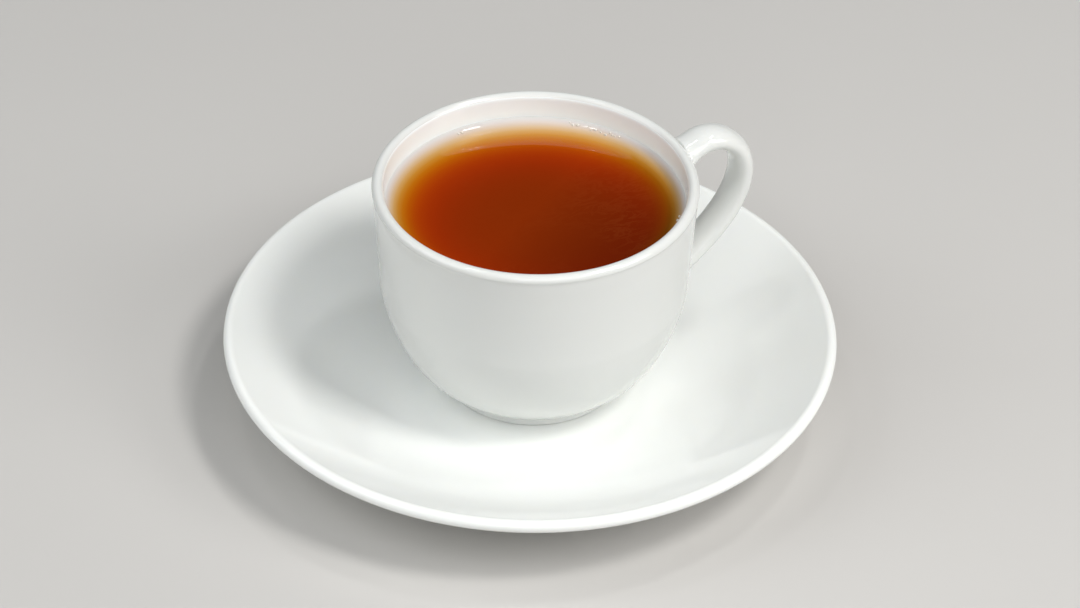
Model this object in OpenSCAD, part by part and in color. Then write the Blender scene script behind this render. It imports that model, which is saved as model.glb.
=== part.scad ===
// Porcelain teacup with its handle, full of black tea, standing on a coupe saucer.
// Origin: the saucer's axis at the surface it stands on. +Z is up, and the cup's
// handle points along +X. All sizes are in millimetres.

/* [Cup] */
// Diameter of the cup across its lip
lip_d = 78; // [60:0.5:100]
// Height of the cup from its foot to the top of its lip
cup_h = 57.3; // [45:0.1:75]
// Thickness of the cup's wall
wall = 2.6; // [1.8:0.1:3.4]
// Thickness of the cup's floor above its foot
cup_floor = 4.2; // [2.5:0.1:6]
// How far the rounded lip stands out beyond the wall
lip_roll = 0.2; // [0:0.05:0.5]
// Height at which the curved bowl gives way to the straight wall
bowl_h = 30.4; // [20:0.1:38]
// Height of the curved bowl's lowest point above the foot's rest
bowl_lift = 0.65; // [0.2:0.05:2]
// How gently the bowl turns from the wall towards the foot
bowl_turn = 1.61; // [1.4:0.01:2.4]
// How full the bowl is before it turns in to the foot
bowl_fill = 4.4; // [2.5:0.1:5]
// Outward lean of the straight wall, in millimetres for each millimetre of height
wall_lean = 0.053; // [0:0.001:0.1]
// Diameter of the foot ring that the cup stands on
foot_d = 44; // [34:0.5:54]
// Width of the cup's foot ring
foot_w = 2.6; // [2:0.1:5]
// Depth of the hollow inside the cup's foot ring
foot_hollow = 1.4; // [0.8:0.1:2]

/* [Handle] */
// Height above the foot at which the handle leaves the cup
handle_top = 49; // [40:0.5:55]
// Height above the foot at which the handle comes back to the cup
handle_low = 16.7; // [14:0.1:24]
// How far the handle stands out beyond the lip
handle_reach = 19.8; // [15:0.1:26]
// Width of the handle's strap
handle_w = 9; // [6:0.1:12]
// Thickness of the handle's strap
handle_t = 5.3; // [4:0.1:7]
// Share by which the strap widens where it meets the cup
handle_flare = 0.14; // [0:0.01:0.3]

/* [Tea] */
// Distance from the top of the lip down to the tea
tea_drop = 8; // [5:0.5:20]
// Height to which the tea climbs at the wall
tea_climb = 1.8; // [0.5:0.1:2.5]
// Width of the band in which the tea climbs
tea_climb_w = 6.9; // [4:0.1:9]

/* [Saucer] */
// Diameter of the saucer
saucer_d = 150; // [120:1:190]
// Height of the saucer's rim above the surface it stands on
saucer_h = 20.6; // [16:0.1:28]
// Thickness of the saucer's rounded rim
saucer_rim = 3; // [2.4:0.1:4]
// Thickness of the saucer under the cup
saucer_floor = 4; // [3:0.1:6]
// How sharply the saucer turns up towards its rim
saucer_turn = 1.9; // [1.5:0.05:3]
// Flat room on the saucer around the cup's foot
well_room = 5; // [3:0.5:10]
// Distance of the cup from the middle of the saucer, towards the handle
cup_shift = 0.8; // [0:0.1:2]
// Diameter of the foot ring that the saucer stands on
saucer_foot_d = 84; // [74:1:96]
// Width of the saucer's foot ring
saucer_foot_w = 3.4; // [2.5:0.1:6]
// Height of the saucer's foot ring
saucer_foot_h = 2.1; // [1.5:0.1:3]

/* [Hidden] */

porcelain = "#f4f6f3";
tea_colour = "#8f3405";
// Roundness of the edge on both foot rings
edge = 0.5;
// Steps along a curved outline, a half-round edge and a quarter-round corner
curve_steps = 36;
lip_steps = 12;
corner_steps = 5;
// Rings along the handle and points round each ring
handle_rings = 40;
ring_points = 24;

lip_r = lip_d / 2;
lip_round = wall / 2 + lip_roll / 2;
lip_z = cup_h - lip_round;
foot_r = foot_d / 2;
// Outer and inner radius of the bowl where it meets the straight wall
belly_r = lip_r - lip_roll - wall_lean * (lip_z - bowl_h);
hollow_r = belly_r - wall;
// Height of the cup's floor inside
floor_z = bowl_lift + cup_floor;
// The foot tapers a little, so the bowl springs from just inside its edge
foot_taper = 0.4;
foot_top_r = foot_r - foot_taper;

tea_z = cup_h - tea_drop;

saucer_r = saucer_d / 2;
well_z = saucer_foot_h + saucer_floor;
well_r = foot_r + cup_shift + well_room;
rim_round = saucer_rim / 2;
rim_z = saucer_h - rim_round;
saucer_foot_r = saucer_foot_d / 2;

// One point of a half or quarter round: centre, radius and angle
function round_pt(c, r, a) = [c[0] + r * cos(a), c[1] + r * sin(a)];
// Points of a round from angle a to angle b
function round_pts(c, r, a, b, n) = [for (i = [0:n]) round_pt(c, r, a + (b - a) * i / n)];

// The bowl's outline: a full, rounded curve that leaves the floor flat and ends upright
// at bowl_h. s runs from 0 on the axis to 90 at the straight wall.
function bowl_pt(r, low, s) =
    let (z = bowl_h - (bowl_h - low) * pow(cos(s), 2 / bowl_turn))
    [(r + wall_lean * (z - bowl_h)) * pow(sin(s), 2 / bowl_fill), z];
// Radius of a bowl or its straight wall at height z
function bowl_r(r, low, z) =
    let (depth = max(0, bowl_h - z) / (bowl_h - low))
    (r + wall_lean * (z - bowl_h)) * pow(1 - pow(depth, bowl_turn), 1 / bowl_fill);
// The value of s at which the bowl's outline has the radius goal, found by halving
function bowl_s(r, low, goal, a = 0, b = 90, n = 30) =
    n == 0 ? (a + b) / 2
    : bowl_pt(r, low, (a + b) / 2)[0] < goal
        ? bowl_s(r, low, goal, (a + b) / 2, b, n - 1)
        : bowl_s(r, low, goal, a, (a + b) / 2, n - 1);
// Points of the bowl's outline from s = a up to the straight wall
function bowl_pts(r, low, a) =
    [for (i = [0:curve_steps]) bowl_pt(r, low, a + (90 - a) * i / curve_steps)];

// Outline of the cup's hollow up to height top, from the axis outwards
function hollow_pts(top) = concat(
    bowl_pts(hollow_r, floor_z, 0),
    [[hollow_r + wall_lean * (top - bowl_h), top]]
);

// The cup's wall, floor and foot ring, without the hollow
module cup_shell() {
    foot_s = bowl_s(belly_r, bowl_lift, foot_top_r);
    lip_c = [lip_r - lip_round, lip_z];
    inner_r = foot_r - foot_w;
    rotate_extrude($fn = 96)
        polygon(concat(
            [[0, foot_hollow], [inner_r - edge, foot_hollow]],
            round_pts([inner_r + edge, edge], edge, 180, 270, corner_steps),
            round_pts([foot_r - edge, edge], edge, 270, 360, corner_steps),
            bowl_pts(belly_r, bowl_lift, foot_s),
            round_pts(lip_c, lip_round, 0, 180, lip_steps),
            [for (i = [curve_steps:-1:0]) bowl_pt(hollow_r, floor_z, 90 * i / curve_steps)]
        ));
}

// The solid that fills the cup's hollow and stands above its lip
module hollow_plug() {
    above = cup_h + handle_w;
    rotate_extrude($fn = 96)
        polygon(concat(hollow_pts(lip_z), [[lip_r - 2 * lip_round, above], [0, above]]));
}

// The handle's middle line is a smooth curve through five guide points. Each guide
// is a share of the reach beyond the lip and a share of the drop from top to bottom.
handle_drop = handle_top - handle_low;
reach_mid = handle_reach - handle_t / 2;
guides = [[0.38, 0.55], [1.45, 0.11], [1.37, -0.35], [0.44, -0.71]];
line_pts = concat(
    [[bowl_r(belly_r, bowl_lift, handle_top) - 0.7 * wall, handle_top]],
    [for (g = guides) [lip_r + g[0] * reach_mid, handle_top + g[1] * handle_drop]],
    [[bowl_r(belly_r, bowl_lift, handle_low) - 0.4 * wall, handle_low]]
);
// How far both ends of the handle run on into the wall
root_run = 4.5;

function mid(a, b, t) = a + (b - a) * t;
// Point at t on the smooth curve that a list of guide points spans
function curve_pt(p, t) =
    len(p) == 1 ? p[0]
    : curve_pt([for (i = [0:len(p) - 2]) mid(p[i], p[i + 1], t)], t);
function unit(v) = v / norm(v);
// Direction of that curve at t
function curve_dir(p, t) = unit(curve_pt([for (i = [0:len(p) - 2]) p[i + 1] - p[i]], t));
// Middle of the handle's ring i: the first and last rings lie inside the wall
function ring_mid(i) =
    i == 0 ? curve_pt(line_pts, 0) - root_run * curve_dir(line_pts, 0)
    : i == handle_rings ? curve_pt(line_pts, 1) + root_run * curve_dir(line_pts, 1)
    : curve_pt(line_pts, (i - 1) / (handle_rings - 2));
function ring_t(i) = min(1, max(0, (i - 1) / (handle_rings - 2)));
// Widening of the strap towards both ends
function flare(t) = 1 + handle_flare * pow(abs(2 * t - 1), 8);

// The handle's strap with an oval section, from wall to wall
module handle() {
    points = [
        for (i = [0:handle_rings])
            let (c = ring_mid(i), t = ring_t(i), d = curve_dir(line_pts, t), f = flare(t))
            for (k = [0:ring_points - 1])
                let (a = 360 * k / ring_points, n = handle_t / 2 * cos(a) * f)
                [c[0] - d[1] * n, handle_w / 2 * sin(a) * f, c[1] + d[0] * n]
    ];
    last = handle_rings * ring_points;
    sides = [
        for (i = [0:handle_rings - 1], k = [0:ring_points - 1])
            let (p = i * ring_points, q = p + ring_points, n = (k + 1) % ring_points)
            for (f = [[p + k, p + n, q + n], [p + k, q + n, q + k]])
                f
    ];
    ends = [
        [for (k = [ring_points - 1:-1:0]) k],
        [for (k = [0:ring_points - 1]) last + k]
    ];
    polyhedron(points = points, faces = concat(sides, ends));
}

// Cup and handle are one piece of porcelain, standing in the saucer's well
module cup() {
    color(porcelain)
        translate([cup_shift, 0, well_z])
            difference() {
                union() {
                    cup_shell();
                    handle();
                }
                hollow_plug();
            }
}

// The tea fills the hollow up to its level and climbs a little at the wall, ever less
// with the distance d from it
module tea() {
    edge_z = tea_z + tea_climb;
    edge_r = hollow_r + wall_lean * (edge_z - bowl_h);
    climb_steps = 16;
    color(tea_colour)
        translate([cup_shift, 0, well_z])
            rotate_extrude($fn = 96)
                polygon(concat(
                    hollow_pts(edge_z),
                    [
                        for (i = [1:climb_steps])
                            let (d = 1.6 * tea_climb_w * i / climb_steps)
                            [edge_r - d, tea_z + tea_climb * exp(-3 * d / tea_climb_w)]
                    ],
                    [[0, tea_z]]
                ));
}

// Middle of the saucer's rounded rim, and the slope at which the dish runs into it
rim_c = [saucer_r - rim_round, rim_z];
rim_slope = atan(saucer_turn * (rim_z - well_z + rim_round) / (rim_c[0] - well_r - rim_round / 2));
dish_end = round_pt(rim_c, rim_round, 90 + rim_slope);

// Height of the saucer's upper side at radius r
function dish_z(r) =
    well_z + (dish_end[1] - well_z) * pow(max(0, r - well_r) / (dish_end[0] - well_r), saucer_turn);
// Height of its underside at radius r, at the share t of the way from foot to rim
function under_z(r, t) = dish_z(r) - mid(saucer_floor, saucer_rim / cos(rim_slope), t);

// A shallow dish with a flat well, a rounded rim and a foot ring underneath
module saucer() {
    foot_in = saucer_foot_r - saucer_foot_w;
    under_end = round_pt(rim_c, rim_round, rim_slope - 90);
    color(porcelain)
        rotate_extrude($fn = 144)
            polygon(concat(
                [[0, saucer_foot_h], [foot_in - edge, saucer_foot_h]],
                round_pts([foot_in + edge, edge], edge, 180, 270, corner_steps),
                round_pts([saucer_foot_r - edge, edge], edge, 270, 360, corner_steps),
                [
                    for (i = [0:curve_steps - 1])
                        let (t = i / curve_steps, r = mid(saucer_foot_r + edge, under_end[0], t))
                        [r, under_z(r, t)]
                ],
                round_pts(rim_c, rim_round, rim_slope - 90, rim_slope + 90, lip_steps),
                [
                    for (i = [curve_steps - 1:-1:0])
                        let (r = mid(well_r, dish_end[0], i / curve_steps))
                        [r, dish_z(r)]
                ],
                [[0, well_z]]
            ));
}

saucer();
cup();
tea();
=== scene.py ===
"""A white porcelain cup of black tea on its saucer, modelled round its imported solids.

The file is laid out as a Blender add-on. Run as a script, it builds every piece and the stage.
Lengths are in metres. +X points from the cup to its handle, +Z is up, and the saucer stands on
Z = 0 with its middle at the origin.
"""

import math
import random

import bmesh
import bpy
from bpy.props import FloatProperty, FloatVectorProperty, IntProperty, PointerProperty
from mathutils import Matrix, Vector


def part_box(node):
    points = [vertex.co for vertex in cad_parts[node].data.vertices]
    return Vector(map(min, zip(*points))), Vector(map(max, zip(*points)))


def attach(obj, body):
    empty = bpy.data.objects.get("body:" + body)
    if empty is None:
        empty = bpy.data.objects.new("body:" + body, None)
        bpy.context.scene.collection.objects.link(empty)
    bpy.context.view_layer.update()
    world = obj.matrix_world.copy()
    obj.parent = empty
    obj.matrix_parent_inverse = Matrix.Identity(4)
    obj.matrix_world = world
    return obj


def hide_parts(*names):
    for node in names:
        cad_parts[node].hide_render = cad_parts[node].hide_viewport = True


bl_info = {
    "name": "Cup of Tea",
    "version": (1, 0, 0),
    "blender": (4, 5, 0),
    "location": "3D View > Sidebar > Tea",
    "description": "Builds a porcelain teacup full of black tea, its saucer and a plain stage",
    "category": "Add Mesh",
}

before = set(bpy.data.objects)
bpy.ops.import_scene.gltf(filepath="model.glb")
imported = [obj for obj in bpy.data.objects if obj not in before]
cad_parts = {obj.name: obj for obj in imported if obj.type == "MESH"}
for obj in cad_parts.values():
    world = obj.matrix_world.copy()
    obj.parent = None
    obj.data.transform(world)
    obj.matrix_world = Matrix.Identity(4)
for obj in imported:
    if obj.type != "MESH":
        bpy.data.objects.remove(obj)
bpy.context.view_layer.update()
CUP_LOW, CUP_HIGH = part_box("cup")
TEA_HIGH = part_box("tea")[1]
SAUCER_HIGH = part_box("saucer")[1]

MM = 0.001
# Steps of every full spin, and times that each cage is subdivided
SPIN_STEPS = 72
SMOOTH_LEVELS = 2
# Each end of the handle opens a square of this many faces a side in the wall
HOLE_COLUMNS = 4
# Points round the handle: as many as such a hole has at its edge
RING_POINTS = 4 * HOLE_COLUMNS
# Passes in which a cage is drawn to its points, and halvings in a search
CAGE_PASSES = 24
HALVINGS = 30

# Heights of the cage's rows on the cup's straight wall, above its foot
OUTER_ROWS = [z * MM for z in (34.4, 38.6, 43.0)]
ROOT_ROWS = [z * MM for z in (47.2, 49.4, 51.5, 53.5, 55.2)]
INNER_ROWS = [z * MM for z in (54.6, 52.4, 49, 45, 40.5, 35.5)]
TEA_ROWS = [z * MM for z in (35.5, 40.5, 45, 48.4)]
# Rows of the bowl's cage, and the two of them between which the handle comes back
BOWL_ROWS = 12
LOWER_ROOT = (5, 9)
# Distances from the wall, and radii, of the rows on the tea's surface
TEA_SURFACE_ROWS = [d * MM for d in (0.0, 0.35, 0.9, 1.6, 2.5, 3.7, 5.2, 7.2, 9.8, 13)]
TEA_MIDDLE_ROWS = [r * MM for r in (18, 12, 6, 0)]

# Each cluster of bubbles: its direction from +X in degrees, and how many it holds
BUBBLE_CLUSTERS = ((36, 9), (48, 3), (96, 2), (-35, 2))

# Each light: its turn from -Y towards +X and its height in degrees, its distance and size in
# metres, its power in watts and its colour
LIGHTS = (
    ("key", 34.5, 56.5, 1.3, 0.28, 6.8, (1.0, 0.99, 0.97)),
    ("right", 44, 34, 1.5, 0.6, 6.8, (1.0, 0.99, 0.98)),
    ("left", -106, 40, 1.5, 1.2, 10, (0.96, 0.99, 1.0)),
    ("front", -16, 40, 1.5, 1.2, 9.9, (0.98, 0.99, 1.0)),
    ("glint_right", 88.6, 69, 1.3, 0.13, 1.6, (1.0, 1.0, 1.0)),
    ("glint_back", 220, 73, 1.3, 0.10, 0.7, (1.0, 1.0, 1.0)),
)
LIGHTS_AIM = Vector((0, 0, 0.04))
# How far the camera stands to the right of its line to the saucer's middle, and above it
CAMERA_SHIFT = (2.26 * MM, 6.06 * MM)


# Sizes and colours that a user would change


class CupSizes(bpy.types.PropertyGroup):
    lip_radius: FloatProperty(
        name="Lip radius", description="Radius of the cup across its lip",
        default=CUP_HIGH.y, unit="LENGTH", precision=4)
    height: FloatProperty(
        name="Height", description="Height of the cup from its foot to the top of its lip",
        default=57.3 * MM, unit="LENGTH", precision=4)
    wall: FloatProperty(
        name="Wall", description="Thickness of the cup's wall",
        default=2.6 * MM, unit="LENGTH", precision=4)
    lip_roll: FloatProperty(
        name="Lip roll", description="How far the rounded lip stands out beyond the wall",
        default=0.2 * MM, unit="LENGTH", precision=4)
    floor: FloatProperty(
        name="Floor", description="Thickness of the cup's floor",
        default=4.2 * MM, unit="LENGTH", precision=4)
    bowl_height: FloatProperty(
        name="Bowl height", description="Height at which the curved bowl meets the straight wall",
        default=30.4 * MM, unit="LENGTH", precision=4)
    bowl_lift: FloatProperty(
        name="Bowl lift", description="Height of the curved bowl's lowest point above the foot",
        default=0.65 * MM, unit="LENGTH", precision=4)
    bowl_turn: FloatProperty(
        name="Bowl turn", description="How gently the bowl turns from the wall to the foot",
        default=1.61)
    bowl_fill: FloatProperty(
        name="Bowl fullness", description="How full the bowl is before it turns in to the foot",
        default=4.4)
    lean: FloatProperty(
        name="Wall lean", description="Outward lean of the straight wall, as a slope",
        default=0.053)
    foot_radius: FloatProperty(
        name="Foot radius", description="Radius of the cup's foot ring",
        default=22.0 * MM, unit="LENGTH", precision=4)
    foot_width: FloatProperty(
        name="Foot width", description="Width of the cup's foot ring",
        default=2.6 * MM, unit="LENGTH", precision=4)
    foot_hollow: FloatProperty(
        name="Foot hollow", description="Depth of the hollow inside the foot ring",
        default=1.4 * MM, unit="LENGTH", precision=4)


class HandleSizes(bpy.types.PropertyGroup):
    top: FloatProperty(
        name="Upper end", description="Height above the foot at which the handle leaves the cup",
        default=49.0 * MM, unit="LENGTH", precision=4)
    low: FloatProperty(
        name="Lower end", description="Height above the foot at which the handle comes back",
        default=16.7 * MM, unit="LENGTH", precision=4)
    width: FloatProperty(
        name="Width", description="Width of the handle's strap",
        default=9.0 * MM, unit="LENGTH", precision=4)
    thickness: FloatProperty(
        name="Thickness", description="Thickness of the handle's strap",
        default=5.3 * MM, unit="LENGTH", precision=4)
    flare: FloatProperty(
        name="Flare", description="Share by which the strap widens towards the cup",
        default=0.14)
    fillet: FloatProperty(
        name="Fillet", description="Width of the hollow curve where the strap meets the cup",
        default=0.9 * MM, unit="LENGTH", precision=4)
    rings: IntProperty(
        name="Rings", description="Rings along the handle",
        default=26)


class SaucerSizes(bpy.types.PropertyGroup):
    radius: FloatProperty(
        name="Radius", description="Radius of the saucer",
        default=SAUCER_HIGH.y, unit="LENGTH", precision=4)
    height: FloatProperty(
        name="Height", description="Height of the saucer's rim above the table",
        default=SAUCER_HIGH.z, unit="LENGTH", precision=4)
    rim: FloatProperty(
        name="Rim", description="Thickness of the rounded rim",
        default=3.0 * MM, unit="LENGTH", precision=4)
    well_radius: FloatProperty(
        name="Well radius", description="Radius of the flat middle that the cup stands on",
        default=27.8 * MM, unit="LENGTH", precision=4)
    turn: FloatProperty(
        name="Turn", description="How sharply the saucer turns up towards its rim",
        default=1.9)
    foot_radius: FloatProperty(
        name="Foot radius", description="Radius of the saucer's foot ring",
        default=42.0 * MM, unit="LENGTH", precision=4)
    foot_width: FloatProperty(
        name="Foot width", description="Width of the saucer's foot ring",
        default=3.4 * MM, unit="LENGTH", precision=4)
    foot_height: FloatProperty(
        name="Foot height", description="Height of the saucer's foot ring",
        default=2.1 * MM, unit="LENGTH", precision=4)


class TeaSizes(bpy.types.PropertyGroup):
    climb: FloatProperty(
        name="Climb", description="Height to which the tea climbs at the wall",
        default=1.8 * MM, unit="LENGTH", precision=4)
    climb_width: FloatProperty(
        name="Climb width", description="Width of the band in which the tea climbs",
        default=6.9 * MM, unit="LENGTH", precision=4)
    overlap: FloatProperty(
        name="Overlap", description="How far the tea reaches into the porcelain, so no gap shows",
        default=0.25 * MM, unit="LENGTH", precision=5)
    tint: FloatVectorProperty(
        name="Tint", description="Colour that the clear tea lets through",
        default=(0.91, 0.70, 0.05), subtype="COLOR", size=3, min=0, max=1)
    strength: FloatProperty(
        name="Strength", description="How strongly the tea colours light, for each metre",
        default=200.0)
    deep: FloatVectorProperty(
        name="Deep colour", description="Colour of the tea far from the wall",
        default=(0.232, 0.0235, 0.0003), subtype="COLOR", size=3, min=0, max=1)
    shallow: FloatVectorProperty(
        name="Shallow colour", description="Colour of the thin edge of the tea at the wall",
        default=(0.74, 0.735, 0.71), subtype="COLOR", size=3, min=0, max=1)
    fade: FloatVectorProperty(
        name="Fade", description="Distance from the wall in which red, green and blue fade",
        default=(8.5 * MM, 3.1 * MM, 1.7 * MM), unit="LENGTH", size=3, precision=4)
    shoulder: FloatVectorProperty(
        name="Shoulder", description="How long red, green and blue last before they fade",
        default=(1.05, 1.15, 1.6), size=3)
    # Painted light: the pale fade at the wall is drawn wider on the side away from this direction
    # and narrower towards it, standing for the lit far wall seen through the tea
    painted_light_axis: FloatProperty(
        name="Strong side", description="Direction in which the colour deepens soonest, from +X",
        default=math.radians(-106.5), subtype="ANGLE")
    pace: FloatProperty(
        name="Pace", description="How soon the colour deepens where the brew is even",
        default=1.2)
    uneven: FloatProperty(
        name="Unevenness", description="How much sooner the colour deepens on the strong side",
        default=0.65)
    # Painted shade: the tea's colour is dimmed towards this direction, standing for the lip's
    # shadow and the shaded side of the tea
    painted_shade_side: FloatProperty(
        name="Dark side", description="Direction in which the brew is darkest, from +X",
        default=math.radians(-57), subtype="ANGLE")
    painted_shade_share: FloatProperty(
        name="Darkening", description="Share of its colour that the brew loses on the dark side",
        default=0.7, min=0, max=1)
    cloudiness: FloatProperty(
        name="Cloudiness", description="How much the fine matter in the tea hides what is below",
        default=0.85)
    threads: FloatProperty(
        name="Threads", description="How strongly the threads of fine matter show",
        default=0.13)
    thread_colour: FloatVectorProperty(
        name="Thread colour", description="Colour of the threads of fine matter",
        default=(0.50, 0.13, 0.03), subtype="COLOR", size=3, min=0, max=1)


class GlazeLook(bpy.types.PropertyGroup):
    white: FloatVectorProperty(
        name="White", description="Colour of the glazed saucer",
        default=(0.905, 0.92, 0.90), subtype="COLOR", size=3, min=0, max=1)
    # Painted shade: the cup's outside is the saucer's porcelain, painted greyer to stand for
    # shade on its wall
    outside: FloatVectorProperty(
        name="Cup outside", description="Colour of the glaze outside the cup",
        default=(0.75, 0.76, 0.74), subtype="COLOR", size=3, min=0, max=1)
    # Painted light: the cup's inside is the same porcelain painted lighter, and tinted blue-green
    # to cancel the orange light that the tea throws on it
    inside: FloatVectorProperty(
        name="Cup inside", description="Colour of the glaze inside the cup",
        default=(0.915, 0.985, 0.995), subtype="COLOR", size=3, min=0, max=1)
    roughness: FloatProperty(
        name="Roughness", description="Roughness of the glaze",
        default=0.09)


class StageLook(bpy.types.PropertyGroup):
    floor_colour: FloatVectorProperty(
        name="Floor", description="Colour of the plain floor",
        default=(0.58, 0.565, 0.545), subtype="COLOR", size=3, min=0, max=1)
    lens: FloatProperty(
        name="Lens", description="Focal length of the camera, in millimetres",
        default=112.85)
    distance: FloatProperty(
        name="Distance", description="Distance from the camera to the middle of the saucer",
        default=829.9 * MM, unit="LENGTH", precision=4)
    azimuth: FloatProperty(
        name="Azimuth", description="Turn of the camera round the cup",
        default=math.radians(-26.6), subtype="ANGLE")
    elevation: FloatProperty(
        name="Elevation", description="Angle at which the camera looks down",
        default=math.radians(37.42), subtype="ANGLE")
    roll: FloatProperty(
        name="Roll", description="Tilt of the camera to one side",
        default=math.radians(1.085), subtype="ANGLE")


# Outlines: lists of points (radius, height) that are turned about an upright axis


def arc(centre, radius, start, end, steps):
    """Points of a round from one angle to another, in degrees, both ends included."""
    points = []
    for i in range(steps + 1):
        angle = math.radians(start + (end - start) * i / steps)
        points.append(Vector(centre) + radius * Vector((math.cos(angle), math.sin(angle))))
    return points


def through(points):
    """Cage points whose subdivided curve runs through the given points."""
    cage = [point.copy() for point in points]
    for _ in range(CAGE_PASSES):
        for i in range(1, len(points) - 1):
            smooth = (cage[i - 1] + 4 * cage[i] + cage[i + 1]) / 6
            cage[i] += points[i] - smooth
    return cage


def lerp(a, b, t):
    return a + (b - a) * t


def swell(steps):
    """How much larger a circle of flat steps is drawn, to keep its size when subdivided."""
    return 6 / (4 + 2 * math.cos(2 * math.pi / steps))


class Bowl:
    """The cup's round bowl and straight wall: one skin of it, outer or inner."""

    def __init__(self, cup, radius, low):
        self.cup, self.radius, self.low = cup, radius, low

    def point(self, s):
        """Point of the bowl's outline: s is 0 on the axis and 90 at the straight wall."""
        cup, s = self.cup, math.radians(s)
        rise = (cup.bowl_height - self.low) * max(0.0, math.cos(s)) ** (2 / cup.bowl_turn)
        radius = (self.radius - cup.lean * rise) * math.sin(s) ** (2 / cup.bowl_fill)
        return Vector((radius, cup.bowl_height - rise))

    def at(self, z):
        """Radius at height z."""
        cup = self.cup
        depth = min(1.0, max(0.0, cup.bowl_height - z) / (cup.bowl_height - self.low))
        full = self.radius + cup.lean * (z - cup.bowl_height)
        return full * (1 - depth ** cup.bowl_turn) ** (1 / cup.bowl_fill)

    def wall_point(self, z):
        return Vector((self.at(z), z))

    def angle_of(self, radius):
        """The s at which the outline has this radius, found by halving."""
        low, high = 0.0, 90.0
        for _ in range(HALVINGS):
            middle = (low + high) / 2
            if self.point(middle).x < radius:
                low = middle
            else:
                high = middle
        return low


def cup_skins(cup):
    """Outer and inner skin of the cup, and the middle and radius of its round lip."""
    lip_round = (cup.wall + cup.lip_roll) / 2
    lip = Vector((cup.lip_radius - lip_round, cup.height - lip_round))
    belly = cup.lip_radius - cup.lip_roll - cup.lean * (lip.y - cup.bowl_height)
    outer = Bowl(cup, belly, cup.bowl_lift)
    inner = Bowl(cup, belly - cup.wall, cup.bowl_lift + cup.floor)
    return outer, inner, lip, lip_round


def tea_surface(cup, tea, distance):
    """Point of the tea's surface at a distance from the wall, which the tea climbs."""
    edge = TEA_HIGH.z - CUP_LOW.z
    climb = tea.climb * math.exp(-3 * distance / tea.climb_width)
    return Vector((cup_skins(cup)[1].at(edge) - distance, edge - tea.climb + climb))


def foot_ring(inner, outer, top):
    """Outline of a foot ring from its inner side, under it, to its outer side."""
    edge = 0.5 * MM
    flat = outer - inner - 2 * edge
    return (
        [Vector((inner - 1.2 * MM, top)), Vector((inner - 0.4 * MM, top))]
        + arc((inner + edge, edge), edge, 180, 270, 2)
        + [Vector((inner + edge + flat * share, 0)) for share in (0.3, 0.7)]
        + arc((outer - edge, edge), edge, 270, 360, 2)
    )


# Meshes


def spun_cage(outline):
    """A bmesh of an outline, drawn from axis to axis, turned a full circle about Z."""
    bm = bmesh.new()
    verts = [bm.verts.new((point.x * swell(SPIN_STEPS), 0, point.y)) for point in outline]
    edges = [bm.edges.new(pair) for pair in zip(verts, verts[1:])]
    bmesh.ops.spin(
        bm, geom=verts + edges, cent=(0, 0, 0), axis=(0, 0, 1), dvec=(0, 0, 0),
        angle=2 * math.pi, steps=SPIN_STEPS, use_merge=True, use_duplicate=False)
    bmesh.ops.remove_doubles(bm, verts=bm.verts, dist=0.01 * MM)
    bmesh.ops.recalc_face_normals(bm, faces=bm.faces)
    return bm


def finish_piece(bm, name, materials, node, levels=SMOOTH_LEVELS):
    """Turns a bmesh into a smooth piece that rides on the part and replaces a CAD node."""
    loose = [edge for edge in bm.edges if not edge.is_manifold]
    if loose:
        raise RuntimeError(f"{name}: {len(loose)} open edges")
    bmesh.ops.recalc_face_normals(bm, faces=bm.faces)
    if bm.calc_volume(signed=True) < 0:
        bmesh.ops.reverse_faces(bm, faces=bm.faces)
    for face in bm.faces:
        face.smooth = True
    mesh = bpy.data.meshes.new(name)
    bm.to_mesh(mesh)
    bm.free()
    for material in materials:
        mesh.materials.append(material)
    piece = bpy.data.objects.new(name, mesh)
    bpy.context.scene.collection.objects.link(piece)
    if levels:
        smooth = piece.modifiers.new("Smooth", "SUBSURF")
        smooth.levels = smooth.render_levels = levels
    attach(piece, "root")
    if node:
        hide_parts(node)


def mark_foot(bm, low):
    """Gives the bisque, the second material, to the faces that a foot ring stands on."""
    for face in bm.faces:
        if face.calc_center_median().z < low + 0.12 * MM:
            face.material_index = 1


# Handle


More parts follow.
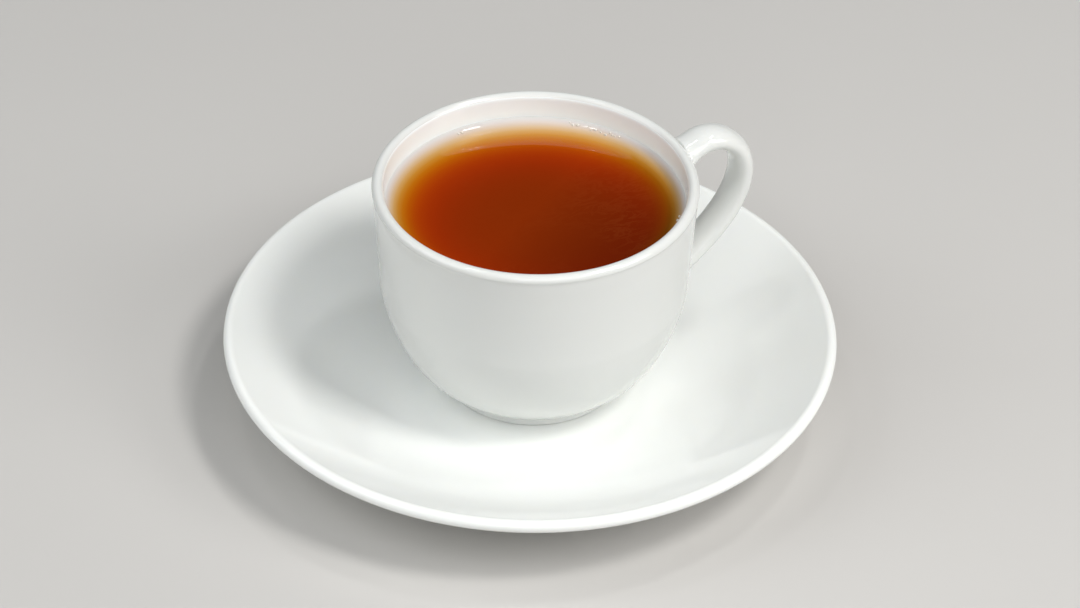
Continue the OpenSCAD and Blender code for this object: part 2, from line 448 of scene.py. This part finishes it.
class Strap:
    """The handle's strap in the XZ plane: an outer and an inner rail from wall to wall."""

    def __init__(self, handle, skin, lip_radius, reach):
        self.handle, self.skin = handle, skin
        drop = handle.top - handle.low
        out = reach - handle.thickness / 2
        # Guides: shares of the reach beyond the lip and of the drop from top to bottom
        guides = ((0.38, 0.55), (1.45, 0.11), (1.37, -0.35), (0.44, -0.71))
        wall = skin.cup.wall
        self.line = (
            [Vector((skin.at(handle.top) - 0.7 * wall, handle.top))]
            + [Vector((lip_radius + a * out, handle.top + b * drop)) for a, b in guides]
            + [Vector((skin.at(handle.low) - 0.4 * wall, handle.low))]
        )

    def curve(self, t, points):
        while len(points) > 1:
            points = [lerp(a, b, t) for a, b in zip(points, points[1:])]
        return points[0]

    def rail(self, t, side):
        """Point at t on the outer (side 1) or inner (side -1) face of the strap."""
        steps = [b - a for a, b in zip(self.line, self.line[1:])]
        way = self.curve(t, steps).normalized()
        across = Vector((-way.y, way.x))
        return self.curve(t, self.line) + across * side * self.handle.thickness / 2

    def leaves_wall(self, side, start, end):
        """The t between start, inside the wall, and end, outside, where a rail leaves it."""
        for _ in range(HALVINGS):
            middle = (start + end) / 2
            point = self.rail(middle, side)
            if point.x < self.skin.at(point.y):
                start = middle
            else:
                end = middle
        return end

    def rings(self):
        """Middle, half thickness and half width of each ring, from the upper end down."""
        handle = self.handle
        ends = {side: (self.leaves_wall(side, -0.1, 0.4), self.leaves_wall(side, 1.1, 0.6))
                for side in (1, -1)}
        mean = [(ends[1][k] + ends[-1][k]) / 2 for k in (0, 1)]
        outer, inner, shares = [], [], []
        last = handle.rings - 1
        for i in range(handle.rings):
            share = i / last
            t = lerp(mean[0], mean[1], share)
            near = max(0.0, 1 - share * 4) ** 2, max(0.0, 1 - (1 - share) * 4) ** 2
            for side, rail in ((1, outer), (-1, inner)):
                turn = sum((ends[side][k] - mean[k]) * near[k] for k in (0, 1))
                rail.append(self.rail(t + turn, side))
            shares.append(share)
        outer, inner = through(outer), through(inner)
        rings = []
        for a, b, share in zip(outer, inner, shares):
            wide = handle.width / 2 * (1 + handle.flare * abs(2 * share - 1) ** 8)
            rings.append(((a + b) / 2, (a - b) / 2, wide))
        return rings


def ring_matrix(ring):
    """Takes a flat unit circle to the place of one ring of the handle."""
    middle, half, wide = ring
    across = Vector((half.x, 0, half.y)) * swell(RING_POINTS)
    side = Vector((0, wide * swell(RING_POINTS), 0))
    along = side.cross(across).normalized()
    matrix = Matrix((across, side, along)).transposed().to_4x4()
    matrix.translation = Vector((middle.x, 0, middle.y))
    return matrix


def open_root(bm, skin, low, high, ring, fillet):
    """Opens the wall between two heights for one end of the handle, and shapes the edge."""
    hole = HOLE_COLUMNS * math.pi / SPIN_STEPS
    faces = []
    for face in bm.faces:
        middle = face.calc_center_median()
        ahead = abs(math.atan2(middle.y, middle.x)) < hole
        if ahead and low < middle.z < high:
            radius = math.hypot(middle.x, middle.y)
            if radius > skin.at(middle.z) - skin.cup.wall / 2:
                faces.append(face)
    if len(faces) != HOLE_COLUMNS ** 2:
        raise RuntimeError(f"handle root: {len(faces)} faces")
    bmesh.ops.delete(bm, geom=faces, context="FACES")
    edges = [edge for edge in bm.edges
             if edge.is_boundary and low - MM < edge.verts[0].co.z < high + MM]
    verts = {vert for edge in edges for vert in edge.verts}
    heights = [vert.co.z for vert in verts]
    old = (min(heights) + max(heights)) / 2
    turns = sorted(verts, key=lambda v: math.atan2(v.co.y, v.co.z - old))
    # The points go round from the one at the top of the hole
    upper = [i for i, vert in enumerate(turns) if vert.co.z >= old]
    first = min(upper, key=lambda i: abs(turns[i].co.y))
    middle, half, wide = ring
    for k in range(len(turns)):
        vert = turns[(first + k) % len(turns)]
        angle = 2 * math.pi * k / len(turns)
        z = middle.y + (abs(half.y) + fillet) * math.cos(angle)
        y = (wide + fillet) * math.sin(angle)
        radius = skin.at(z)
        vert.co = (math.sqrt(radius * radius - y * y), y, z)
    return edges


def add_handle(bm, strap, roots):
    """Sweeps the strap through its rings and joins both its ends to the wall."""
    rings = strap.rings()
    fillet = strap.handle.fillet
    upper = open_root(bm, strap.skin, *roots[0], rings[0], fillet)
    lower = open_root(bm, strap.skin, *roots[1], rings[-1], fillet)
    made = bmesh.ops.create_circle(bm, segments=RING_POINTS, radius=1)
    verts = made["verts"]
    edges = list({edge for vert in verts for edge in vert.link_edges})
    place = ring_matrix(rings[1])
    bmesh.ops.transform(bm, matrix=place, verts=verts)
    first = edges
    for ring in rings[2:-1]:
        grown = bmesh.ops.extrude_edge_only(bm, edges=edges)["geom"]
        verts = [item for item in grown if isinstance(item, bmesh.types.BMVert)]
        edges = [item for item in grown if isinstance(item, bmesh.types.BMEdge)
                 and item.verts[0] in verts and item.verts[1] in verts]
        new_place = ring_matrix(ring)
        bmesh.ops.transform(bm, matrix=new_place @ place.inverted(), verts=verts)
        place = new_place
    bmesh.ops.bridge_loops(bm, edges=upper + first)
    bmesh.ops.bridge_loops(bm, edges=lower + edges)


# Materials

BLACK, WHITE = (0, 0, 0), (1, 1, 1)
GLAZE_IOR, WATER_IOR = 1.5, 1.333


def new_material(name):
    """A material with its Principled shader, and the nodes and links to build on."""
    material = bpy.data.materials.new(name)
    material.use_nodes = True
    nodes, links = material.node_tree.nodes, material.node_tree.links
    nodes.clear()
    output = nodes.new("ShaderNodeOutputMaterial")
    shader = nodes.new("ShaderNodeBsdfPrincipled")
    links.new(shader.outputs["BSDF"], output.inputs["Surface"])
    place = nodes.new("ShaderNodeTexCoord").outputs["Object"]
    return material, nodes, links, shader, output, place


def noise(nodes, links, place, scale, detail=2.0, roughness=0.5, distortion=0.0):
    node = nodes.new("ShaderNodeTexNoise")
    links.new(place, node.inputs["Vector"])
    node.inputs["Scale"].default_value = scale
    node.inputs["Detail"].default_value = detail
    node.inputs["Roughness"].default_value = roughness
    node.inputs["Distortion"].default_value = distortion
    return node.outputs["Fac"]


def ramp(nodes, links, value, stops):
    """A colour ramp through (position, colour) stops."""
    node = nodes.new("ShaderNodeValToRGB")
    links.new(value, node.inputs["Fac"])
    elements = node.color_ramp.elements
    for i, (position, colour) in enumerate(stops):
        element = elements[i] if i < 2 else elements.new(position)
        element.position = position
        element.color = (*colour, 1)
    return node.outputs["Color"]


def spread(nodes, links, value, low, high):
    """Takes a value of 0 to 1 to a range."""
    node = nodes.new("ShaderNodeMapRange")
    links.new(value, node.inputs["Value"])
    node.inputs["To Min"].default_value = low
    node.inputs["To Max"].default_value = high
    return node.outputs["Result"]


def mapped(nodes, links, place, location=(0, 0, 0), turn=0.0, scale=(1, 1, 1)):
    """A place moved, turned about Z and scaled."""
    node = nodes.new("ShaderNodeMapping")
    node.inputs["Location"].default_value = location
    node.inputs["Rotation"].default_value = (0, 0, turn)
    node.inputs["Scale"].default_value = scale
    links.new(place, node.inputs["Vector"])
    return node.outputs["Vector"]


def towards(nodes, links, place, angle, radius):
    """How far a place lies towards an angle from +X, as a share of the radius."""
    node = nodes.new("ShaderNodeVectorMath")
    node.operation = "DOT_PRODUCT"
    links.new(place, node.inputs[0])
    node.inputs[1].default_value = (math.cos(angle) / radius, math.sin(angle) / radius, 0)
    return node.outputs["Value"]


def times(nodes, links, a, b):
    """Multiplies one value by another, or by a plain number."""
    node = nodes.new("ShaderNodeMath")
    node.operation = "MULTIPLY"
    links.new(a, node.inputs[0])
    if isinstance(b, float):
        node.inputs[1].default_value = b
    else:
        links.new(b, node.inputs[1])
    return node.outputs["Value"]


def bump(nodes, links, height, strength, distance):
    node = nodes.new("ShaderNodeBump")
    links.new(height, node.inputs["Height"])
    node.inputs["Strength"].default_value = strength
    node.inputs["Distance"].default_value = distance
    return node.outputs["Normal"]


def glaze_material(name, look, white):
    """White glazed porcelain: clouded a little, and never quite even."""
    material, nodes, links, shader, _, place = new_material(name)
    white = Vector(white)
    cloud = noise(nodes, links, place, 22.0, 3.0)
    colour = ramp(nodes, links, cloud, (
        (0.3, white * 0.985), (0.7, Vector((white.x, white.y, white.z * 0.995)))))
    links.new(colour, shader.inputs["Base Color"])
    uneven = noise(nodes, links, place, 60.0, 2.0)
    links.new(spread(nodes, links, uneven, look.roughness * 0.8, look.roughness * 1.25),
              shader.inputs["Roughness"])
    ripple = noise(nodes, links, place, 110.0, 1.5, 0.4)
    links.new(bump(nodes, links, ripple, 0.12, 0.05 * MM), shader.inputs["Normal"])
    shader.inputs["IOR"].default_value = GLAZE_IOR
    shader.inputs["Subsurface Weight"].default_value = 0.12
    shader.inputs["Subsurface Radius"].default_value = (1.0, 0.9, 0.75)
    shader.inputs["Subsurface Scale"].default_value = 1.6 * MM
    return material


def bisque_material(name):
    """The bare, ground porcelain that a foot ring stands on."""
    material, nodes, links, shader, _, place = new_material(name)
    grain = noise(nodes, links, place, 2600.0, 4.0, 0.7)
    colour = ramp(nodes, links, grain, ((0.3, (0.60, 0.58, 0.53)), (0.75, (0.74, 0.73, 0.69))))
    links.new(colour, shader.inputs["Base Color"])
    links.new(spread(nodes, links, grain, 0.55, 0.8), shader.inputs["Roughness"])
    links.new(bump(nodes, links, grain, 0.5, 0.04 * MM), shader.inputs["Normal"])
    return material


def tea_material(name, tea, axis, radius):
    """Cloudy tea, whose colour deepens from the wall inwards as the cup grows deeper, with
    painted light on one side and painted shade towards another.

    The wall is at the given radius from the upright axis, which stands at x = axis.
    """
    material, nodes, links, shader, output, place = new_material(name)
    centred = mapped(nodes, links, place, location=(-axis, 0, 0), scale=(1, 1, 0))
    length = nodes.new("ShaderNodeVectorMath")
    length.operation = "LENGTH"
    links.new(centred, length.inputs[0])
    # Painted light and shade: the colour deepens sooner towards one side, so the pale fade
    # reaches further, as painted light, on the far side; and a painted shade falls towards
    # another side
    painted_light_lean = towards(nodes, links, centred, tea.painted_light_axis, radius)
    painted_shade_lean = towards(nodes, links, centred, tea.painted_shade_side, radius)
    pace = nodes.new("ShaderNodeMath")
    pace.operation = "MULTIPLY_ADD"
    links.new(painted_light_lean, pace.inputs[0])
    pace.inputs[1].default_value = tea.uneven
    pace.inputs[2].default_value = tea.pace
    from_wall = nodes.new("ShaderNodeMapRange")
    links.new(length.outputs["Value"], from_wall.inputs["Value"])
    from_wall.inputs["From Min"].default_value = radius
    from_wall.inputs["From Max"].default_value = 0
    inward = times(nodes, links, from_wall.outputs["Result"], pace.outputs["Value"])
    # Stops of the fade, which lie closer together towards the wall
    last = 19
    stops = []
    for i in range(last + 1):
        share = (i / last) ** 2
        colour = [deep + (shallow - deep) * math.exp(-(share * radius / fade) ** shoulder)
                  for deep, shallow, fade, shoulder
                  in zip(tea.deep, tea.shallow, tea.fade, tea.shoulder)]
        stops.append((share, colour))
    # The fade's colour, dimmed by a painted shade towards one side; the ramp after it spares the
    # thin edge at the wall
    amber = nodes.new("ShaderNodeVectorMath")
    amber.operation = "SCALE"
    links.new(ramp(nodes, links, inward, stops), amber.inputs[0])
    body = ramp(nodes, links, inward, ((0.01, BLACK), (0.14, WHITE)))
    links.new(spread(nodes, links, times(nodes, links, painted_shade_lean, body), 1.0, 1.0 - tea.painted_shade_share),
              amber.inputs["Scale"])
    # Thin threads of the fine matter, drawn out as if by a slow stir, most on the dark side
    drawn = mapped(nodes, links, place, turn=0.6, scale=(1, 2.2, 1))
    streaks = noise(nodes, links, drawn, 150.0, 5.0, 0.65, 0.9)
    threads = ramp(nodes, links, streaks, ((0.44, BLACK), (0.5, WHITE), (0.56, BLACK)))
    patches = ramp(nodes, links, noise(nodes, links, place, 45.0, 1.0), (
        (0.42, BLACK), (0.66, WHITE)))
    middle = ramp(nodes, links, inward, ((0.04, BLACK), (0.3, WHITE)))
    # Thin threads of the fine matter, drawn out as if by a slow stir, most towards the side of
    # the painted shade
    amount = threads
    for share in (patches, middle, spread(nodes, links, painted_shade_lean, 0.25, 1.0), tea.threads):
        amount = times(nodes, links, amount, share)
    mixed = nodes.new("ShaderNodeMix")
    mixed.data_type = "RGBA"
    links.new(amount, mixed.inputs["Factor"])
    links.new(amber.outputs["Vector"], mixed.inputs["A"])
    mixed.inputs["B"].default_value = (*tea.thread_colour, 1)
    links.new(mixed.outputs["Result"], shader.inputs["Base Color"])
    shader.inputs["Transmission Weight"].default_value = 1 - tea.cloudiness
    shader.inputs["IOR"].default_value = WATER_IOR
    shader.inputs["Roughness"].default_value = 0.0
    clear = nodes.new("ShaderNodeVolumeAbsorption")
    clear.inputs["Color"].default_value = (*tea.tint, 1)
    clear.inputs["Density"].default_value = tea.strength
    links.new(clear.outputs["Volume"], output.inputs["Volume"])
    return material


def bubble_material(name):
    """A wet film of tea round air."""
    material, nodes, links, shader, _, place = new_material(name)
    film = noise(nodes, links, place, 900.0, 1.0)
    links.new(ramp(nodes, links, film, ((0.3, (0.97, 0.90, 0.78)), (0.7, (1.0, 0.97, 0.92)))),
              shader.inputs["Base Color"])
    shader.inputs["Transmission Weight"].default_value = 0.35
    shader.inputs["IOR"].default_value = WATER_IOR
    shader.inputs["Roughness"].default_value = 0.03
    return material


def floor_material(name, colour):
    material, nodes, links, shader, _, place = new_material(name)
    colour = Vector(colour)
    patch = noise(nodes, links, place, 6.0, 4.0)
    links.new(ramp(nodes, links, patch, ((0.3, colour * 0.98), (0.7, colour))),
              shader.inputs["Base Color"])
    shader.inputs["Roughness"].default_value = 0.7
    return material


# Operators


class TEACUP_OT_saucer(bpy.types.Operator):
    """Build the saucer with its foot ring and rounded rim"""
    bl_idname = "teacup.saucer"
    bl_label = "Saucer"

    def execute(self, context):
        scene = context.scene
        saucer, look = scene.teacup_saucer, scene.teacup_glaze
        well = CUP_LOW.z
        rim_round = saucer.rim / 2
        rim = Vector((saucer.radius - rim_round, saucer.height - rim_round))
        rise = rim.y - well + rim_round
        slope = math.degrees(math.atan(
            saucer.turn * rise / (rim.x - saucer.well_radius - rim_round / 2)))
        top = arc(rim, rim_round, slope - 90, slope + 90, 6)
        dish_end = top[-1]
        thick = well - saucer.foot_height

        def dish(radius):
            share = max(0.0, radius - saucer.well_radius) / (dish_end.x - saucer.well_radius)
            return well + (dish_end.y - well) * share ** saucer.turn

        outline = [Vector((r * MM, saucer.foot_height)) for r in (0, 12, 25, 34)]
        inner_foot = saucer.foot_radius - saucer.foot_width
        outline += foot_ring(inner_foot, saucer.foot_radius, saucer.foot_height)
        start = saucer.foot_radius + 0.6 * MM
        steps = 10
        thin = saucer.rim / math.cos(math.radians(slope))
        outline.append(Vector((saucer.foot_radius, dish(start) - thick - 0.6 * MM)))
        for i in range(steps):
            # Rows lie closer together towards the rim
            share = 1 - (1 - i / steps) ** 1.5
            radius = lerp(start, top[0].x, share)
            outline.append(Vector((radius, dish(radius) - lerp(thick, thin, share))))
        outline += top
        inward = 16
        for i in range(1, inward):
            radius = lerp(dish_end.x, saucer.well_radius - 6 * MM, (i / inward) ** 1.6)
            outline.append(Vector((radius, dish(radius))))
        outline += [Vector((r * MM, well)) for r in (14, 6, 0)]
        bm = spun_cage(through(outline))
        mark_foot(bm, 0)
        glaze = glaze_material("saucer_glaze", look, look.white)
        finish_piece(bm, "saucer_porcelain", [glaze, bisque_material("saucer_bisque")],
                     "saucer")
        return {"FINISHED"}


class TEACUP_OT_cup(bpy.types.Operator):
    """Build the cup's bowl, lip and foot ring with its handle, as one piece"""
    bl_idname = "teacup.cup"
    bl_label = "Cup and handle"

    def execute(self, context):
        scene = context.scene
        cup, handle, look = scene.teacup_cup, scene.teacup_handle, scene.teacup_glaze
        outer, inner, lip, lip_round = cup_skins(cup)
        outline = [Vector((r * MM, cup.foot_hollow)) for r in (0, 6, 13)]
        outline += foot_ring(cup.foot_radius - cup.foot_width, cup.foot_radius, cup.foot_hollow)
        spring = cup.foot_radius - 0.4 * MM
        start = outer.angle_of(spring)
        outline.append(Vector((spring + 0.1 * MM, outer.point(start).y - 0.5 * MM)))
        bowl = [outer.point(lerp(start, 90, i / BOWL_ROWS)) for i in range(BOWL_ROWS + 1)]
        outline += bowl
        outline += [outer.wall_point(z) for z in OUTER_ROWS + ROOT_ROWS]
        outline += arc(lip, lip_round, 0, 180, 6)
        outline += [inner.wall_point(z) for z in INNER_ROWS]
        inner_steps = 13
        outline += [inner.point(90 * (1 - i / inner_steps)) for i in range(inner_steps)]
        outline += [Vector((6 * MM, inner.low)), Vector((0, inner.low))]
        bm = spun_cage(through(outline))
        reach = CUP_HIGH.x - (CUP_LOW.x + 2 * cup.lip_radius)
        strap = Strap(handle, outer, cup.lip_radius, reach)
        lower = [bowl[i].y for i in LOWER_ROOT]
        add_handle(bm, strap, ((ROOT_ROWS[0], ROOT_ROWS[-1]), lower))
        mark_foot(bm, 0)
        # The third material, a copy of the glaze painted lighter as painted light, covers the
        # inside, up to the top of the lip
        for face in bm.faces:
            middle = face.calc_center_median()
            radius, height = math.hypot(middle.x, middle.y), middle.z
            if height > inner.low - 0.5 * MM and radius < inner.at(min(height, lip.y)) + 0.3 * MM:
                face.material_index = 2
        bmesh.ops.translate(bm, vec=(CUP_LOW.x + cup.lip_radius, 0, CUP_LOW.z), verts=bm.verts)
        # Lit and shaded copies of one glaze: the outside is painted greyer as painted shade, and
        # the inside is painted lighter as painted light
        glaze = glaze_material("cup_outside_shaded_glaze", look, look.outside)
        inside = glaze_material("cup_inside_lit_glaze", look, look.inside)
        finish_piece(bm, "cup_porcelain", [glaze, bisque_material("cup_bisque"), inside],
                     "cup")
        return {"FINISHED"}


class TEACUP_OT_tea(bpy.types.Operator):
    """Build the tea up to its level, climbing a little at the wall"""
    bl_idname = "teacup.tea"
    bl_label = "Tea"

    def execute(self, context):
        scene = context.scene
        cup, tea = scene.teacup_cup, scene.teacup_tea
        inner = cup_skins(cup)[1]
        edge = TEA_HIGH.z - CUP_LOW.z
        out = Vector((tea.overlap, 0))
        down = Vector((0, -tea.overlap))
        steps = 13
        outline = [Vector((0, inner.low)) + down, Vector((6 * MM, inner.low)) + down]
        for i in range(1, steps + 1):
            s = 90 * i / steps
            outline.append(inner.point(s) + out * math.sin(math.radians(s))
                           + down * math.cos(math.radians(s)))
        outline += [inner.wall_point(z) + out for z in TEA_ROWS]
        edge_radius = inner.at(edge)
        slope = 3 * tea.climb / tea.climb_width
        rim = Vector((edge_radius + tea.overlap, edge + slope * tea.overlap))
        outline += [rim - Vector((0, 0.25 * MM)), rim]
        outline += [tea_surface(cup, tea, distance) for distance in TEA_SURFACE_ROWS]
        outline += [Vector((radius, edge - tea.climb)) for radius in TEA_MIDDLE_ROWS]
        bm = spun_cage(through(outline))
        axis = CUP_LOW.x + cup.lip_radius
        bmesh.ops.translate(bm, vec=(axis, 0, CUP_LOW.z), verts=bm.verts)
        look = tea_material("tea", tea, axis, edge_radius)
        finish_piece(bm, "black_tea", [look], "tea")
        return {"FINISHED"}


class TEACUP_OT_bubbles(bpy.types.Operator):
    """Build the few small bubbles that gather where the tea meets the wall"""
    bl_idname = "teacup.bubbles"
    bl_label = "Bubbles"

    def execute(self, context):
        scene = context.scene
        cup, tea = scene.teacup_cup, scene.teacup_tea
        axis = CUP_LOW.x + cup.lip_radius
        scatter = random.Random(7)
        bm = bmesh.new()
        for centre, count in BUBBLE_CLUSTERS:
            # Bubbles lie about 2 degrees apart, so half the cluster lies before its middle
            angle = centre - 1.1 * count
            for _ in range(count):
                size = scatter.uniform(0.22, 0.48) * MM
                away = size + scatter.uniform(0.4, 1.5) * MM
                angle += scatter.uniform(1.2, 2.6)
                turn = math.radians(angle)
                radius, height = tea_surface(cup, tea, away)
                place = (axis + radius * math.cos(turn), radius * math.sin(turn),
                         height + CUP_LOW.z)
                bmesh.ops.create_uvsphere(
                    bm, u_segments=16, v_segments=10, radius=size,
                    matrix=Matrix.Translation(place))
        finish_piece(bm, "tea_bubbles", [bubble_material("tea_bubble")], None, 0)
        return {"FINISHED"}


class TEACUP_OT_stage(bpy.types.Operator):
    """Build the plain floor, the soft lights and the camera"""
    bl_idname = "teacup.stage"
    bl_label = "Stage"

    def execute(self, context):
        scene = context.scene
        look = scene.teacup_stage
        bm = bmesh.new()
        bmesh.ops.create_grid(bm, x_segments=1, y_segments=1, size=3.0)
        mesh = bpy.data.meshes.new("floor")
        bm.to_mesh(mesh)
        bm.free()
        mesh.materials.append(floor_material("floor", look.floor_colour))
        floor = bpy.data.objects.new("floor", mesh)
        scene.collection.objects.link(floor)

        world = bpy.data.worlds.new("studio")
        world.use_nodes = True
        sky = world.node_tree.nodes["Background"]
        sky.inputs["Color"].default_value = (0.93, 0.97, 1.0, 1)
        sky.inputs["Strength"].default_value = 0.04
        scene.world = world

        for light in LIGHTS:
            self.light(*light)
        self.camera(scene, look)
        scene.view_settings.view_transform = "Standard"
        return {"FINISHED"}

    def light(self, name, azimuth, elevation, distance, size, power, colour):
        """A square soft light that faces the cup, at an azimuth from -Y towards +X."""
        data = bpy.data.lights.new(name, "AREA")
        data.size, data.energy, data.color = size, power, colour
        turn, lift = math.radians(azimuth), math.radians(elevation)
        way = Vector((math.sin(turn) * math.cos(lift), -math.cos(turn) * math.cos(lift),
                      math.sin(lift)))
        light = bpy.data.objects.new(name, data)
        light.location = LIGHTS_AIM + way * distance
        light.rotation_euler = (-way).to_track_quat("-Z", "Y").to_euler()
        bpy.context.scene.collection.objects.link(light)

    def camera(self, scene, look):
        """A long lens that looks down on the cup."""
        turn, lift = look.azimuth, look.elevation
        forward = Vector((-math.sin(turn) * math.cos(lift), math.cos(turn) * math.cos(lift),
                          -math.sin(lift)))
        right = Vector((math.cos(turn), math.sin(turn), 0))
        up = right.cross(forward)
        target = Vector((0, 0, SAUCER_HIGH.z - 1.5 * MM))
        data = bpy.data.cameras.new("camera")
        data.lens, data.sensor_width = look.lens, 36
        data.clip_start, data.clip_end = 0.05, 20
        camera = bpy.data.objects.new("camera", data)
        place = (target - forward * look.distance
                 + right * CAMERA_SHIFT[0] + up * CAMERA_SHIFT[1])
        matrix = Matrix((right, up, -forward)).transposed().to_4x4()
        matrix.translation = place
        camera.matrix_world = matrix @ Matrix.Rotation(look.roll, 4, "Z")
        scene.collection.objects.link(camera)
        scene.camera = camera


GROUPS = (
    ("teacup_cup", CupSizes), ("teacup_handle", HandleSizes), ("teacup_saucer", SaucerSizes),
    ("teacup_tea", TeaSizes), ("teacup_glaze", GlazeLook), ("teacup_stage", StageLook),
)
OPERATORS = (
    TEACUP_OT_saucer, TEACUP_OT_cup, TEACUP_OT_tea, TEACUP_OT_bubbles, TEACUP_OT_stage)


class TEACUP_PT_panel(bpy.types.Panel):
    """Sizes, colours and the buttons that build each piece"""
    bl_idname = "TEACUP_PT_panel"
    bl_label = "Cup of Tea"
    bl_space_type = "VIEW_3D"
    bl_region_type = "UI"
    bl_category = "Tea"

    def draw(self, context):
        for operator in OPERATORS:
            self.layout.operator(operator.bl_idname)
        for name, group in GROUPS:
            box = self.layout.box()
            for prop in group.__annotations__:
                box.prop(getattr(context.scene, name), prop)


def register():
    for name, group in GROUPS:
        bpy.utils.register_class(group)
        setattr(bpy.types.Scene, name, PointerProperty(type=group))
    for operator in OPERATORS:
        bpy.utils.register_class(operator)
    bpy.utils.register_class(TEACUP_PT_panel)


def unregister():
    bpy.utils.unregister_class(TEACUP_PT_panel)
    for operator in reversed(OPERATORS):
        bpy.utils.unregister_class(operator)
    for name, group in reversed(GROUPS):
        delattr(bpy.types.Scene, name)
        bpy.utils.unregister_class(group)


def main():
    register()
    bpy.ops.teacup.saucer()
    bpy.ops.teacup.cup()
    bpy.ops.teacup.tea()
    bpy.ops.teacup.bubbles()
    bpy.ops.teacup.stage()


if __name__ == "__main__":
    main()
